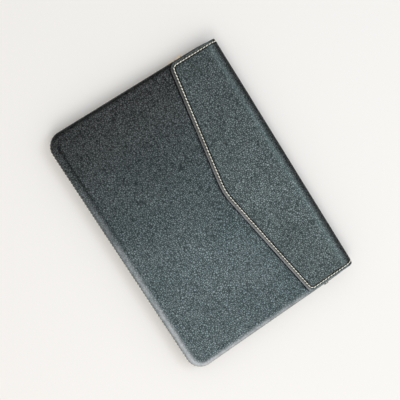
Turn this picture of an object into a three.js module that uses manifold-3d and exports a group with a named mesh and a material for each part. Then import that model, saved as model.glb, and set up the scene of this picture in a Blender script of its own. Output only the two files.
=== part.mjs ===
// A slim leather laptop case, zipped shut and lying on its back. Its front and its back are padded
// leather shells, each moulded in one piece with a rounded rim. They meet at a zip round three sides and
// at a leather gusset round the fourth. A pointed flap is sewn to the back, folds over the fourth side
// and lies on the front.
// Millimetres. +X runs along the folded edge, +Y points to it, and +Z is up from the surface.
import * as THREE from "three";
import { mergeVertices } from "three/addons/utils/BufferGeometryUtils.js";
import Module from "manifold-3d";

// Whole case
const caseLength = 330;
const caseDepth = 238;
const clearance = 0.3;
const cornerRadius = 19;
const foldCornerRadius = 4;

// Padded leather walls
const sideWall = 2.6;
const frontPanel = 2.6;
const lapFloor = 1.1;
const backFillet = 1.4;
const backEdgeRadius = 4;

// Gusset
const gussetLeather = 1.4;
const gussetRecess = 0.7;

// Rounded rim of the front, and the shallow hollow inside it
const rimWidth = 8.5;
const rimHeight = 4.5;
const creaseWidth = 4;
const creaseDepth = 0.3;

// Flap
const flapLeather = 1.8;
const flapInset = 2;
const flapSideReach = 67;
const flapPointReach = 93.5;
const flapPointEase = 7;
const flapCornerRadius = 10;
const foldNose = 14;
const lapReach = 38;

// Zip
const tapeThickness = 0.8;
const tapeLap = 1.5;
const teethWidth = 4.2;
const teethThickness = 1.1;
const sliderStop = 42.5;
const tabStop = 39.5;

// Slider and its puller
const sliderLength = 9.5;
const sliderWidth = 7.6;
const sliderTail = 5.6;
const sliderPlate = 0.8;
const sliderRun = 0.4;
const neckLength = 1.5;
const neckWidth = 2;
const bailLength = 6;
const bailWidth = 2.2;
const bailWire = 0.8;
const pinDiameter = 1.3;
const pullerLength = 17.5;
const pullerRoot = 6.1;
const pullerEnd = 5;
const pullerHole = 1.1;

// Tab over the far end of the zip
const tabLength = 6.5;
const tabBevel = 0.6;

// Heights that follow from the pieces
const backPanel = lapFloor + flapLeather + clearance;
const backEdge = backPanel + backFillet + tapeLap + clearance;
const zipGap = sliderWidth + 2 * sliderRun;
const frontEdge = backEdge + zipGap;
const rimStart = frontEdge + tapeLap + clearance;
const bodyTop = rimStart + rimHeight;
const flapTop = bodyTop + clearance + flapLeather;
const zipMiddle = (backEdge + frontEdge) / 2;

// Plan sizes that follow from the pieces
const halfLength = caseLength / 2;
const halfDepth = caseDepth / 2;
const flapSkin = flapLeather + clearance;
const bodyFold = halfDepth - flapSkin;
const flapHalf = halfLength - flapInset;
const foldMiddle = flapTop / 2;
const noseReach = foldNose - flapSkin;
const noseRise = foldMiddle - flapSkin;
const tapeInset = sideWall + clearance;
const teethOut = tapeInset - clearance - teethThickness;
const plateOut = teethOut - clearance - sliderPlate;
const bailOpening = pinDiameter + 2 * clearance;
const bailProud = bailOpening + bailWire - plateOut;
const leftStop = halfDepth - sliderStop;
const rightStop = halfDepth - tabStop;
const sliderPlace = leftStop - clearance - sliderLength / 2;
const tapeStart = leftStop - 2 * clearance - neckLength;

// Smoothness of the curves, as counts of straight steps
const cornerSteps = 9;
const foldCornerSteps = 3;
const rimSteps = 6;
const noseSteps = 16;
const gussetSteps = 8;
const smallestRadius = 0.6;

// How far the body draws in from its furthest reach towards the fold, at a height
function noseInset(height) {
  const rise = Math.min(1, Math.abs(height - foldMiddle) / noseRise);
  return noseReach * (1 - Math.sqrt(1 - rise * rise));
}
const backFold = sideWall + noseInset(backPanel + backFillet);

// Points of an arc about a centre, from one angle to another in degrees
function arc(x, y, radius, from, to, steps) {
  const points = [];
  for (let i = 0; i <= steps; i += 1) {
    const angle = THREE.MathUtils.degToRad(from + ((to - from) * i) / steps);
    points.push(new THREE.Vector2(x + radius * Math.cos(angle), y + radius * Math.sin(angle)));
  }
  return points;
}

// The side of the body nearest the zip: left end, both round corners, right end
function zipSide(inset, leftEnd, rightEnd) {
  const x = halfLength - inset;
  const y = -halfDepth + inset;
  const r = Math.max(cornerRadius - inset, smallestRadius);
  return [
    new THREE.Vector2(-x, leftEnd),
    ...arc(-x + r, y + r, r, 180, 270, cornerSteps),
    ...arc(x - r, y + r, r, 270, 360, cornerSteps),
    new THREE.Vector2(x, rightEnd),
  ];
}

// The side of the body nearest the fold: right corner, then left corner
function foldSide(inset, foldInset) {
  const x = halfLength - inset;
  const y = bodyFold - foldInset;
  const r = Math.max(foldCornerRadius - inset, smallestRadius);
  return [
    ...arc(x - r, y - r, r, 0, 90, foldCornerSteps),
    ...arc(-x + r, y - r, r, 90, 180, foldCornerSteps),
  ];
}

// One level loop round the body, anticlockwise from above
function bodyLoop({ inset, foldInset, height }) {
  const zipPoints = zipSide(inset, 0, 0).slice(1, -1);
  return [...zipPoints, ...foldSide(inset, foldInset)].map((p) => new THREE.Vector3(p.x, p.y, height));
}

// Faces between one loop of points and the next
function bandFaces(near, far, count) {
  const faces = [];
  for (let i = 0; i < count; i += 1) {
    const j = (i + 1) % count;
    faces.push(near + i, far + i, far + j, near + i, far + j, near + j);
  }
  return faces;
}

// Closed body through loops of equal count from its top to its foot, with a flat fan at each end
function loftLoops(loops) {
  const count = loops[0].length;
  const positions = loops.flat().flatMap((p) => [p.x, p.y, p.z]);
  const faces = loops.slice(1).flatMap((_, k) => bandFaces(k * count, (k + 1) * count, count));
  const addFan = (loop, start, turn) => {
    const middle = positions.length / 3;
    positions.push(0, 0, loop[0].z);
    for (let i = 0; i < count; i += 1) {
      const pair = [start + i, start + ((i + 1) % count)];
      faces.push(middle, ...(turn ? pair.reverse() : pair));
    }
  };
  addFan(loops[0], 0, false);
  addFan(loops[loops.length - 1], (loops.length - 1) * count, true);
  return indexedGeometry(positions, faces);
}

// Closed sheet through sections, each given as a row of points on its outer and on its inner face
function loftSheet(sections) {
  const rows = sections[0][0].length;
  const count = 2 * rows;
  const loops = sections.map(([outer, inner]) => [...outer, ...[...inner].reverse()]);
  const positions = loops.flat().flatMap((p) => [p.x, p.y, p.z]);
  const faces = loops.slice(1).flatMap((_, k) => bandFaces((k + 1) * count, k * count, count));
  const last = (loops.length - 1) * count;
  for (let i = 0; i + 1 < rows; i += 1) {
    const [a, b, c, d] = [i, i + 1, count - 2 - i, count - 1 - i];
    faces.push(a, c, b, a, d, c);
    faces.push(last + a, last + b, last + c, last + a, last + c, last + d);
  }
  return indexedGeometry(positions, faces);
}

function indexedGeometry(positions, faces) {
  const geometry = new THREE.BufferGeometry();
  geometry.setAttribute("position", new THREE.Float32BufferAttribute(positions, 3));
  geometry.setIndex(faces);
  geometry.computeVertexNormals();
  return geometry;
}

// Upright strip between an outer and an inner route, from one height to another
function uprightStrip(outer, inner, low, high) {
  const shape = new THREE.Shape([...outer, ...[...inner].reverse()]);
  const geometry = new THREE.ExtrudeGeometry(shape, { depth: high - low, bevelEnabled: false });
  return geometry.translate(0, 0, low);
}

// Joining and cutting
const wasm = await Module();
wasm.setup();

function toSolid(geometry) {
  const bare = geometry.clone();
  bare.deleteAttribute("normal");
  bare.deleteAttribute("uv");
  const merged = mergeVertices(bare);
  return new wasm.Manifold(
    new wasm.Mesh({
      numProp: 3,
      vertProperties: new Float32Array(merged.attributes.position.array),
      triVerts: new Uint32Array(merged.index.array),
    }),
  );
}

function toGeometry(solid) {
  const mesh = solid.getMesh();
  return indexedGeometry(Array.from(mesh.vertProperties), Array.from(mesh.triVerts));
}

// Loop inside the rim of the front, at a distance in from where its curve ends
function panelLoop(across, height) {
  return bodyLoop({ inset: rimWidth + across, foldInset: noseReach + across, height });
}

// Padded front: a flat panel, a shallow hollow round it, a rounded rim and a short upright skirt, all one
// tray that is open below
function frontShell() {
  const outside = [];
  const inside = [];
  for (let i = 0; i <= rimSteps; i += 1) {
    const angle = (Math.PI / 2) * (1 - i / rimSteps);
    const across = 1 - Math.cos(angle);
    const rise = Math.sin(angle);
    const height = rimStart + rimHeight * rise;
    outside.push({ inset: rimWidth * across, foldInset: noseInset(height), height });
    inside.unshift({
      inset: sideWall + (rimWidth - sideWall) * across,
      foldInset: sideWall + noseInset(height),
      height: rimStart + (rimHeight - frontPanel) * rise,
    });
  }
  outside.push({ inset: 0, foldInset: noseInset(frontEdge), height: frontEdge });
  inside.unshift({ inset: sideWall, foldInset: sideWall + noseInset(frontEdge), height: frontEdge });
  return loftLoops([
    panelLoop(creaseWidth, bodyTop),
    panelLoop(creaseWidth / 2, bodyTop - creaseDepth),
    ...outside.map(bodyLoop),
    ...inside.map(bodyLoop),
  ]);
}

// Padded back: a tray that is open above, with room under it for the tail of the flap, which is sewn on
function backShell() {
  const loops = [
    { inset: sideWall + backFillet, foldInset: backFold + backFillet, height: backPanel },
    { inset: sideWall, foldInset: backFold, height: backPanel + backFillet },
    { inset: sideWall, foldInset: sideWall + noseInset(backEdge), height: backEdge },
    { inset: 0, foldInset: noseInset(backEdge), height: backEdge },
  ];
  for (let i = 0; i <= rimSteps; i += 1) {
    const angle = (Math.PI / 2) * (i / rimSteps);
    const inset = backEdgeRadius * (1 - Math.cos(angle));
    const height = backEdgeRadius * (1 - Math.sin(angle));
    loops.push({ inset, foldInset: noseInset(height), height });
  }
  const lapEdge = halfDepth - lapReach - clearance;
  const lapStep = new THREE.BoxGeometry(2 * caseLength, caseDepth, 2 * flapSkin);
  lapStep.translate(0, lapEdge + halfDepth, 0);
  return toGeometry(toSolid(loftLoops(loops.map(bodyLoop))).subtract(toSolid(lapStep)));
}

// How far the flap reaches down the front from the outside of the fold, at a distance off the middle
function flapReach(x) {
  const slope = (flapPointReach - flapSideReach) / flapHalf;
  const length = Math.hypot(1, slope);
  const centre = flapHalf - flapCornerRadius;
  const tangent = centre + (flapCornerRadius * slope) / length;
  if (Math.abs(x) > tangent) {
    const base = flapSideReach + slope * flapCornerRadius - length * flapCornerRadius;
    return base + Math.sqrt(Math.max(0, flapCornerRadius ** 2 - (Math.abs(x) - centre) ** 2));
  }
  const eased = Math.hypot(x, flapPointEase) - flapPointEase * (1 - Math.abs(x) / flapHalf);
  return flapPointReach - slope * eased;
}

// How far the top of the rim has dropped, at a distance off the middle
function rimDrop(x) {
  const over = Math.max(0, Math.abs(x) - (halfLength - rimWidth)) / rimWidth;
  return rimHeight * (1 - Math.sqrt(1 - over * over));
}

// Places across the flap, close together round its point and its corners
function flapColumns() {
  const half = [0, 0.02, 0.045, 0.09, 0.17, 0.3, 0.45, 0.6, 0.75, 0.87].map((share) => share * flapHalf);
  for (let i = 0; i <= cornerSteps; i += 1) {
    const angle = (Math.PI / 2) * (1 - i / cornerSteps);
    half.push(flapHalf - flapCornerRadius * (1 - Math.cos(angle)));
  }
  return [...half.slice(1).reverse().map((x) => -x), ...half];
}

// One face of the flap, at a depth below its outer face: sewn lap, nose of the fold, front
function flapFace(x, depth) {
  const noseStart = halfDepth - foldNose;
  const points = [new THREE.Vector3(x, halfDepth - lapReach, depth)];
  for (let i = 0; i <= noseSteps; i += 1) {
    const angle = Math.PI * (i / noseSteps - 0.5);
    const y = noseStart + (foldNose - depth) * Math.cos(angle);
    const z = foldMiddle + (foldMiddle - depth) * Math.sin(angle);
    points.push(new THREE.Vector3(x, y, Math.min(z, flapTop - depth - rimDrop(x))));
  }
  for (const share of [0.3, 0.6, 0.85, 1]) {
    const y = noseStart - share * (flapReach(x) - foldNose);
    points.push(new THREE.Vector3(x, y, flapTop - depth - rimDrop(x)));
  }
  return points;
}

// Leather flap: one sheet from the lap under the back, round the fold, to the point on the front
function flap() {
  return loftSheet(flapColumns().map((x) => [flapFace(x, 0), flapFace(x, flapLeather)]));
}

// Closed zip: its woven tape inside the shells, and the row of teeth in front of it
function zipTape() {
  const outer = zipSide(tapeInset, tapeStart, rightStop);
  const inner = zipSide(tapeInset + tapeThickness, tapeStart, rightStop);
  return uprightStrip(outer, inner, backEdge - tapeLap, frontEdge + tapeLap);
}

function zipTeeth() {
  const end = rightStop - tabLength - clearance;
  const outer = zipSide(teethOut, tapeStart, end);
  const inner = zipSide(teethOut + teethThickness, tapeStart, end);
  return uprightStrip(outer, inner, zipMiddle - teethWidth / 2, zipMiddle + teethWidth / 2);
}

// Leather gusset that closes the folded side and runs round to both ends of the zip. Its edges are sewn
// inside the shells and its middle swells out between them.
function gussetRoute(inset, foldInset) {
  return [
    new THREE.Vector2(-halfLength + inset, leftStop + clearance),
    ...foldSide(inset, foldInset).reverse(),
    new THREE.Vector2(halfLength - inset, rightStop + clearance),
  ];
}

function gusset() {
  const sewnFold = backFold + clearance;
  const rows = [{ swell: 0, height: backEdge - tapeLap }];
  for (let i = 0; i <= gussetSteps; i += 1) {
    const share = i / gussetSteps;
    rows.push({ swell: Math.sin(Math.PI * share), height: backEdge + zipGap * share });
  }
  rows.push({ swell: 0, height: frontEdge + tapeLap });
  const face = (depth) =>
    rows.map(({ swell, height }) => {
      const inset = tapeInset - (tapeInset - gussetRecess) * swell + depth;
      const route = gussetRoute(inset, sewnFold * (1 - swell) + depth);
      return route.map((p) => new THREE.Vector3(p.x, p.y, height));
    });
  const outer = face(0);
  const inner = face(gussetLeather);
  const section = (side, k) => side.map((row) => row[k]);
  return loftSheet(outer[0].map((_, k) => [section(outer, k), section(inner, k)]));
}

// The slider and the puller share a frame on the zip: +X is out of the case, +Y is along the closed
// teeth, and the plane x = 0 is the outside of the case.

// Plate of the slider, wide at its neck and narrow at its tail
function sliderPlateSolid(out) {
  const half = sliderLength / 2;
  const shape = new THREE.Shape();
  shape.moveTo(-half, -sliderWidth / 2);
  shape.lineTo(half - sliderLength / 3, -sliderWidth / 2);
  shape.lineTo(half, -sliderTail / 2);
  shape.lineTo(half, sliderTail / 2);
  shape.lineTo(half - sliderLength / 3, sliderWidth / 2);
  shape.lineTo(-half, sliderWidth / 2);
  const plate = new THREE.ExtrudeGeometry(shape, { depth: sliderPlate, bevelEnabled: false });
  plate.rotateX(Math.PI / 2);
  plate.rotateZ(Math.PI / 2);
  return toSolid(plate.translate(out - sliderPlate, 0, 0));
}

// Arched bail over the pin of the puller, standing on the outer plate
function bailSolid() {
  const rise = bailOpening + bailWire;
  const foot = rise / 2;
  const shape = new THREE.Shape();
  const span = bailLength / 2;
  shape.moveTo(-plateOut - sliderPlate / 2, -span);
  shape.lineTo(-plateOut + foot, -span);
  shape.lineTo(bailProud, -span + foot);
  shape.lineTo(bailProud, span - foot);
  shape.lineTo(-plateOut + foot, span);
  shape.lineTo(-plateOut - sliderPlate / 2, span);
  const window = new THREE.Path();
  const inner = span - bailWire;
  window.moveTo(-plateOut, -inner);
  window.lineTo(-plateOut, inner);
  window.lineTo(-plateOut + foot, inner);
  window.lineTo(bailProud - bailWire, inner - foot / 2);
  window.lineTo(bailProud - bailWire, -inner + foot / 2);
  window.lineTo(-plateOut + foot, -inner);
  shape.holes.push(window);
  const bail = new THREE.ExtrudeGeometry(shape, { depth: bailWidth, bevelEnabled: false });
  return toSolid(bail.translate(0, 0, -bailWidth / 2));
}

// Zip slider: an outer and an inner plate joined by a neck past the last tooth, and the bail
function zipSlider() {
  const innerOut = -(tapeInset + tapeThickness + clearance);
  const depth = -plateOut - innerOut + sliderPlate;
  const neck = new THREE.BoxGeometry(depth, neckLength, neckWidth);
  neck.translate(innerOut + depth / 2 - sliderPlate / 2, (neckLength - sliderLength) / 2, 0);
  const plates = sliderPlateSolid(-plateOut).add(sliderPlateSolid(innerOut));
  return toGeometry(plates.add(toSolid(neck)).add(bailSolid()));
}

// Puller: a flat tongue with a slot that clears the bail, and a round pin across the slot
const pinOut = -plateOut + clearance + pinDiameter / 2;
const slotLength = bailLength / 2 + clearance;
const slotWidth = bailWidth + 2 * clearance;

function zipPuller() {
  const tip = pullerLength - pullerEnd / 2;
  const shape = new THREE.Shape();
  shape.moveTo(0, -pullerRoot / 2);
  arc(tip, 0, pullerEnd / 2, -90, 90, cornerSteps).forEach((p) => shape.lineTo(p.x, p.y));
  shape.lineTo(0, pullerRoot / 2);
  shape.lineTo(0, slotWidth / 2);
  shape.lineTo(slotLength, slotWidth / 2);
  shape.lineTo(slotLength, -slotWidth / 2);
  shape.lineTo(0, -slotWidth / 2);
  const eye = new THREE.Path(arc(tip, 0, pullerHole, 360, 0, cornerSteps).slice(0, -1));
  shape.holes.push(eye);
  const tongue = new THREE.ExtrudeGeometry(shape, { depth: pinDiameter, bevelEnabled: false });
  tongue.rotateX(Math.PI / 2);
  tongue.rotateZ(Math.PI / 2);
  tongue.translate(-pinDiameter / 2, 0, 0);
  const pin = new THREE.CylinderGeometry(pinDiameter / 2, pinDiameter / 2, pullerRoot, 12);
  pin.rotateX(Math.PI / 2);
  return toGeometry(toSolid(tongue).add(toSolid(pin)));
}

// Folded tab that covers the far end of the zip
function zipEndTab() {
  const high = sliderWidth - 2 * tabBevel;
  const shape = new THREE.Shape();
  const half = tabLength / 2 - tabBevel;
  shape.moveTo(-half, -high / 2);
  shape.lineTo(half, -high / 2);
  shape.lineTo(half, high / 2);
  shape.lineTo(-half, high / 2);
  const depth = bailProud + tapeInset - clearance - 2 * tabBevel;
  const options = { depth, bevelThickness: tabBevel, bevelSize: tabBevel, bevelSegments: 2 };
  const tab = new THREE.ExtrudeGeometry(shape, options);
  tab.rotateX(Math.PI / 2);
  tab.rotateZ(Math.PI / 2);
  return tab.translate(clearance - tapeInset + tabBevel, 0, 0);
}

// Materials
const leather = new THREE.MeshStandardMaterial({ color: 0x37474b, roughness: 0.62, metalness: 0 });
const gussetSkin = new THREE.MeshStandardMaterial({ color: 0x2b383b, roughness: 0.68, metalness: 0 });
const weave = new THREE.MeshStandardMaterial({ color: 0x5d5542, roughness: 0.9, metalness: 0 });
const teethFinish = new THREE.MeshStandardMaterial({ color: 0xa08a5c, roughness: 0.5, metalness: 0.6 });
const brass = new THREE.MeshStandardMaterial({ color: 0xb08a50, roughness: 0.35, metalness: 1 });

function piece(name, geometry, material) {
  const mesh = new THREE.Mesh(geometry, material);
  mesh.name = name;
  return mesh;
}

// Assembly
const laptopCase = new THREE.Group();
laptopCase.add(
  piece("back_shell", backShell(), leather),
  piece("front_shell", frontShell(), leather),
  piece("gusset", gusset(), gussetSkin),
  piece("flap", flap(), leather),
  piece("zip_tape", zipTape(), weave),
  piece("zip_teeth", zipTeeth(), teethFinish),
);

const sliderFrame = new THREE.Group();
sliderFrame.position.set(-halfLength, sliderPlace, zipMiddle);
sliderFrame.rotation.z = Math.PI;
const puller = piece("zip_puller", zipPuller(), brass);
puller.position.x = pinOut;
sliderFrame.add(piece("zip_slider", zipSlider(), brass), puller);

const tabFrame = new THREE.Group();
tabFrame.position.set(halfLength, rightStop - tabLength / 2, zipMiddle);
tabFrame.add(piece("zip_end_tab", zipEndTab(), weave));

laptopCase.add(sliderFrame, tabFrame);
export default laptopCase;
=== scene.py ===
# A slim leather laptop case, zipped shut and lying on its back, with a pointed flap folded over one long
# side onto the front. Metres, +X along the fold, +Y towards it, +Z up.
import math
import bmesh
import bpy
from mathutils import Matrix, Vector, noise


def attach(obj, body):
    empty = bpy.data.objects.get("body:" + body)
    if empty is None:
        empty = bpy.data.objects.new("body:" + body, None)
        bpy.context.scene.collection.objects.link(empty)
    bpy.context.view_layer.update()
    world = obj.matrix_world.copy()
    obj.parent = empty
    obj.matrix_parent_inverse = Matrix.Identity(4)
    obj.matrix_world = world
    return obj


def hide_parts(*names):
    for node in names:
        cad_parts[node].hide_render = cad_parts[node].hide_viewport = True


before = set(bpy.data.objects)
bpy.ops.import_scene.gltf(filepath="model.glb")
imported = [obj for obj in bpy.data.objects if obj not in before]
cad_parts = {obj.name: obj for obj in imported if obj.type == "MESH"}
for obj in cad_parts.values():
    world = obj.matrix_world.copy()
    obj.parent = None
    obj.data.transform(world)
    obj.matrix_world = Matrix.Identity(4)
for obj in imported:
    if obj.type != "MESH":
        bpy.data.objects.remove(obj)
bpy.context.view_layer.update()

# Camera
# A hand-held view from nearly straight above, a little towards the zipped side and the left end, with the
# case turned so that its fold runs down the right of the picture.
camera_data = bpy.data.cameras.new("camera")
camera_data.sensor_width = 36
camera_data.lens = 54
camera = bpy.data.objects.new("camera", camera_data)
bpy.context.scene.collection.objects.link(camera)
bpy.context.scene.camera = camera
camera_azimuth = math.radians(-36.7)
camera_elevation = math.radians(81.3)
camera_roll = math.radians(93.9)
camera_distance = 0.7408
camera_target = Vector((-0.00665, -0.00016, 0.0))
camera_forward = Vector(
    (
        -math.sin(camera_azimuth) * math.cos(camera_elevation),
        math.cos(camera_azimuth) * math.cos(camera_elevation),
        -math.sin(camera_elevation),
    )
)
camera_level = Vector((math.cos(camera_azimuth), math.sin(camera_azimuth), 0))
camera_rise = camera_level.cross(camera_forward)
camera_right = camera_level * math.cos(camera_roll) + camera_rise * math.sin(camera_roll)
camera_up = camera_right.cross(camera_forward)
camera_turn = Matrix((camera_right, camera_up, -camera_forward)).transposed()
camera_place = camera_target - camera_forward * camera_distance
camera.matrix_world = Matrix.Translation(camera_place) @ camera_turn.to_4x4()

# Back
# The back of the case is one moulded tray of padded leather: a flat floor, a low rounded edge and an
# upright skirt that is sewn to the zip tape and to the gusset. Towards the fold its floor steps up to make
# room for the tail of the flap, which is sewn under it.
mm = 0.001
half_length = 165 * mm
zip_edge = -119 * mm
fold_edge = 116.9 * mm
corner_radius = 19 * mm
fold_corner_radius = 4 * mm
nose_middle = 11.6 * mm
nose_reach = 11.9 * mm
nose_rise = 9.5 * mm
lap_edge = 80.7 * mm
lap_depth = 2.1 * mm
back_edge = 6.4 * mm
back_edge_radius = 4 * mm
rim_width = 8.5 * mm
shell_wall = 2.6 * mm
fold_tuck = 2.4 * mm
fold_tuck_start = 86 * mm


def cut_outline(inset, height):
    """The plan of the case at a distance in from its edge, as one flat face with square fold corners."""
    shape = bmesh.new()
    bmesh.ops.create_grid(shape, x_segments=1, y_segments=1, size=1)
    depth = fold_edge - zip_edge - 2 * inset
    bmesh.ops.scale(shape, vec=(half_length - inset, depth / 2, 1), verts=shape.verts)
    bmesh.ops.translate(shape, vec=(0, (fold_edge + zip_edge) / 2, height), verts=shape.verts)
    corners = [v for v in shape.verts if v.co.y < 0]
    bmesh.ops.bevel(
        shape,
        geom=corners,
        offset=corner_radius - inset,
        offset_type="OFFSET",
        segments=14,
        profile=0.5,
        affect="VERTICES",
        material=-1,
    )
    return shape


def work_inwards(shape, layer, steps):
    """Rows round the middle face of a panel, each given as how far in, how far up and its wear and sheen."""
    middle = max(shape.faces, key=lambda face: face.calc_area())
    for across, rise, wear_and_sheen in steps:
        bmesh.ops.inset_region(
            shape,
            faces=[middle],
            thickness=across,
            depth=rise,
            use_boundary=True,
            use_even_offset=True,
        )
        for corner in middle.verts:
            corner[layer] = wear_and_sheen
    return middle


def cut_rows(shape, axis, places):
    """Extra rows of points across a piece, so that it can follow a curve."""
    normal = Vector((0, 0, 0))
    normal[axis] = 1
    for place in places:
        bmesh.ops.bisect_plane(
            shape,
            geom=shape.verts[:] + shape.edges[:] + shape.faces[:],
            dist=0.00001,
            plane_co=normal * place,
            plane_no=normal,
        )


def spaced(low, high, step):
    count = max(1, round((high - low) / step))
    return [low + (high - low) * k / count for k in range(count + 1)]


def nose_inset(height):
    rise = min(1, abs(height - nose_middle) / nose_rise)
    return nose_reach * (1 - math.sqrt(1 - rise * rise))


def draw_in_fold(shape, already):
    """Draws the folded side in to the rounded nose, from how far in it already is at each height."""
    start = 60 * mm
    for v in shape.verts:
        if v.co.y > start:
            now = fold_edge - already(v.co.z) - start
            wanted = fold_edge - nose_inset(v.co.z) - start
            v.co.y = start + (v.co.y - start) * wanted / now


def hand_wave(x, y, seed):
    """The slight unevenness of leather that was glued and sewn by hand, from -1 to 1."""
    broad = noise.noise(Vector((x / 0.075, y / 0.075, seed)))
    narrow = noise.noise(Vector((x / 0.026, y / 0.026, seed + 9)))
    return 0.7 * broad + 0.3 * narrow


def bell(off, spread):
    """How strongly a mark shows at a distance off its middle: 1 there, fading to nothing on both sides."""
    return math.exp(-((off / spread) ** 2))


def add_node(tree, kind, links=None, **values):
    """One node of a finish, with what feeds it and with its settings."""
    node = tree.nodes.new(kind)
    for key, value in values.items():
        setattr(node, key, value)
    for socket, source in (links or {}).items():
        if isinstance(source, bpy.types.NodeSocket):
            tree.links.new(source, node.inputs[socket])
        else:
            node.inputs[socket].default_value = source
    return node


def grained_leather(
    name, low, high, roughness, depth, cell=460, rub_and_highlight=(0.48, 0.485, 0.505), painted_light_range=(0.24, 1.95)
):
    """Dyed pebbled leather: unevenly gleaming pebbles about 2 mm across, dark valleys and fine pores.
    Its cloudy dye is painted darker at the left end and paler towards the right end, by as much as the
    painted light range says, as painted light from the lamp. Where its wear and sheen is high it is paler and
    smoother, partly as wear and partly as a painted highlight, and where its painted shade is high it is
    dark."""
    leather = bpy.data.materials.new(name)
    leather.use_nodes = True
    tree = leather.node_tree
    skin = tree.nodes["Principled BSDF"]
    place = add_node(tree, "ShaderNodeTexCoord").outputs["Object"]
    stray = add_node(tree, "ShaderNodeTexNoise", {"Vector": place, "Scale": 190.0, "Detail": 2.0})
    wander = (1.2 * mm, 1.2 * mm, 1.2 * mm)
    stretch = add_node(
        tree, "ShaderNodeVectorMath", {0: stray.outputs["Color"], 1: wander}, operation="MULTIPLY"
    )
    warped = add_node(
        tree, "ShaderNodeVectorMath", {0: place, 1: stretch.outputs[0]}, operation="ADD"
    ).outputs[0]
    pebbles = add_node(
        tree, "ShaderNodeTexVoronoi", {"Vector": warped, "Scale": float(cell)}, feature="DISTANCE_TO_EDGE"
    ).outputs["Distance"]
    crowns = add_node(
        tree, "ShaderNodeMapRange", {"Value": pebbles, "From Max": 0.26}, interpolation_type="SMOOTHERSTEP"
    ).outputs[0]
    pores = add_node(
        tree, "ShaderNodeTexNoise", {"Vector": place, "Scale": 2600.0, "Detail": 3.0, "Roughness": 0.6}
    ).outputs["Fac"]
    cloud = add_node(
        tree, "ShaderNodeTexNoise", {"Vector": place, "Scale": 16.0, "Detail": 5.0, "Roughness": 0.62}
    ).outputs["Fac"]
    dye = add_node(tree, "ShaderNodeValToRGB", {"Fac": cloud})
    dye.color_ramp.elements[0].position = 0.33
    dye.color_ramp.elements[0].color = (*low, 1)
    dye.color_ramp.elements[1].position = 0.68
    dye.color_ramp.elements[1].color = (*high, 1)
    # Wear and sheen: paler and smoother, partly real wear and partly a painted highlight.
    wear_and_highlight = add_node(tree, "ShaderNodeAttribute", attribute_name="wear_and_sheen").outputs["Fac"]
    painted_shade_fac = add_node(tree, "ShaderNodeAttribute", attribute_name="painted_shade").outputs["Fac"]
    deep = add_node(tree, "ShaderNodeMapRange", {"Value": wear_and_highlight, "To Min": 0.32, "To Max": 0.8}).outputs[0]
    valley = add_node(
        tree, "ShaderNodeMapRange", {"Value": crowns, "To Min": deep, "To Max": 1.30}
    ).outputs[0]
    each = add_node(tree, "ShaderNodeTexVoronoi", {"Vector": warped, "Scale": float(cell)}).outputs["Color"]
    uneven_dye = add_node(
        tree, "ShaderNodeMapRange", {"Value": each, "To Min": 0.80, "To Max": 1.20}
    ).outputs[0]
    length = add_node(tree, "ShaderNodeSeparateXYZ", {0: place}).outputs["X"]
    # Painted light: darker at the left end and paler towards the lit right end.
    painted_light_slope = add_node(
        tree,
        "ShaderNodeMapRange",
        {"Value": length, "From Min": -0.15, "From Max": 0.05, "To Min": painted_light_range[0], "To Max": painted_light_range[1]},
    ).outputs[0]
    # Painted shade: darkens the colour and the gleam where the shade attribute is high.
    unshaded = add_node(tree, "ShaderNodeMapRange", {"Value": painted_shade_fac, "To Min": 1.0, "To Max": 0.04}).outputs[0]
    shade = valley
    for factor in (uneven_dye, painted_light_slope, unshaded):
        shade = add_node(tree, "ShaderNodeMath", {0: shade, 1: factor}, operation="MULTIPLY").outputs[0]
    tinted = add_node(tree, "ShaderNodeMix", {0: 1.0}, data_type="RGBA", blend_type="MULTIPLY")
    tree.links.new(dye.outputs["Color"], tinted.inputs[6])
    tree.links.new(shade, tinted.inputs[7])
    patchy = add_node(
        tree, "ShaderNodeTexNoise", {"Vector": place, "Scale": 85.0, "Detail": 4.0, "Roughness": 0.7}
    ).outputs["Fac"]
    patches = add_node(
        tree, "ShaderNodeMapRange", {"Value": patchy, "From Min": 0.38, "From Max": 0.66}
    ).outputs[0]
    uneven = add_node(tree, "ShaderNodeMapRange", {"Value": patches, "To Min": 0.45}).outputs[0]
    rubbed_and_lit_tops = add_node(tree, "ShaderNodeMath", {0: wear_and_highlight, 1: uneven}, operation="MULTIPLY").outputs[0]
    # The rub colour on the rubbed tops is partly worn leather and partly a painted highlight.
    colour = add_node(tree, "ShaderNodeMix", data_type="RGBA")
    tree.links.new(rubbed_and_lit_tops, colour.inputs[0])
    tree.links.new(tinted.outputs[2], colour.inputs[6])
    colour.inputs[7].default_value = (*rub_and_highlight, 1)
    tree.links.new(colour.outputs[2], skin.inputs["Base Color"])
    sheen = add_node(
        tree, "ShaderNodeMapRange", {"Value": cloud, "To Min": roughness + 0.07, "To Max": roughness - 0.07}
    ).outputs[0]
    tree.links.new(sheen, skin.inputs["Roughness"])
    fine = add_node(
        tree, "ShaderNodeBump", {"Height": pores, "Strength": 0.35, "Distance": 0.00006}
    ).outputs["Normal"]
    stretched = add_node(
        tree, "ShaderNodeMapRange", {"Value": wear_and_highlight, "To Min": 1.0, "To Max": 0.12}
    ).outputs[0]
    grain = add_node(
        tree, "ShaderNodeBump", {"Height": crowns, "Strength": stretched, "Distance": depth, "Normal": fine}
    ).outputs["Normal"]
    tree.links.new(grain, skin.inputs["Normal"])
    gleam = add_node(tree, "ShaderNodeMapRange", {"Value": crowns, "To Min": 0.16, "To Max": 1.0}).outputs[0]
    buffed = add_node(tree, "ShaderNodeMapRange", {"Value": each, "To Min": 0.65, "To Max": 1.35}).outputs[0]
    for factor in (buffed, unshaded):
        gleam = add_node(tree, "ShaderNodeMath", {0: gleam, 1: factor}, operation="MULTIPLY").outputs[0]
    tree.links.new(gleam, skin.inputs["Specular IOR Level"])
    return leather


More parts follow.
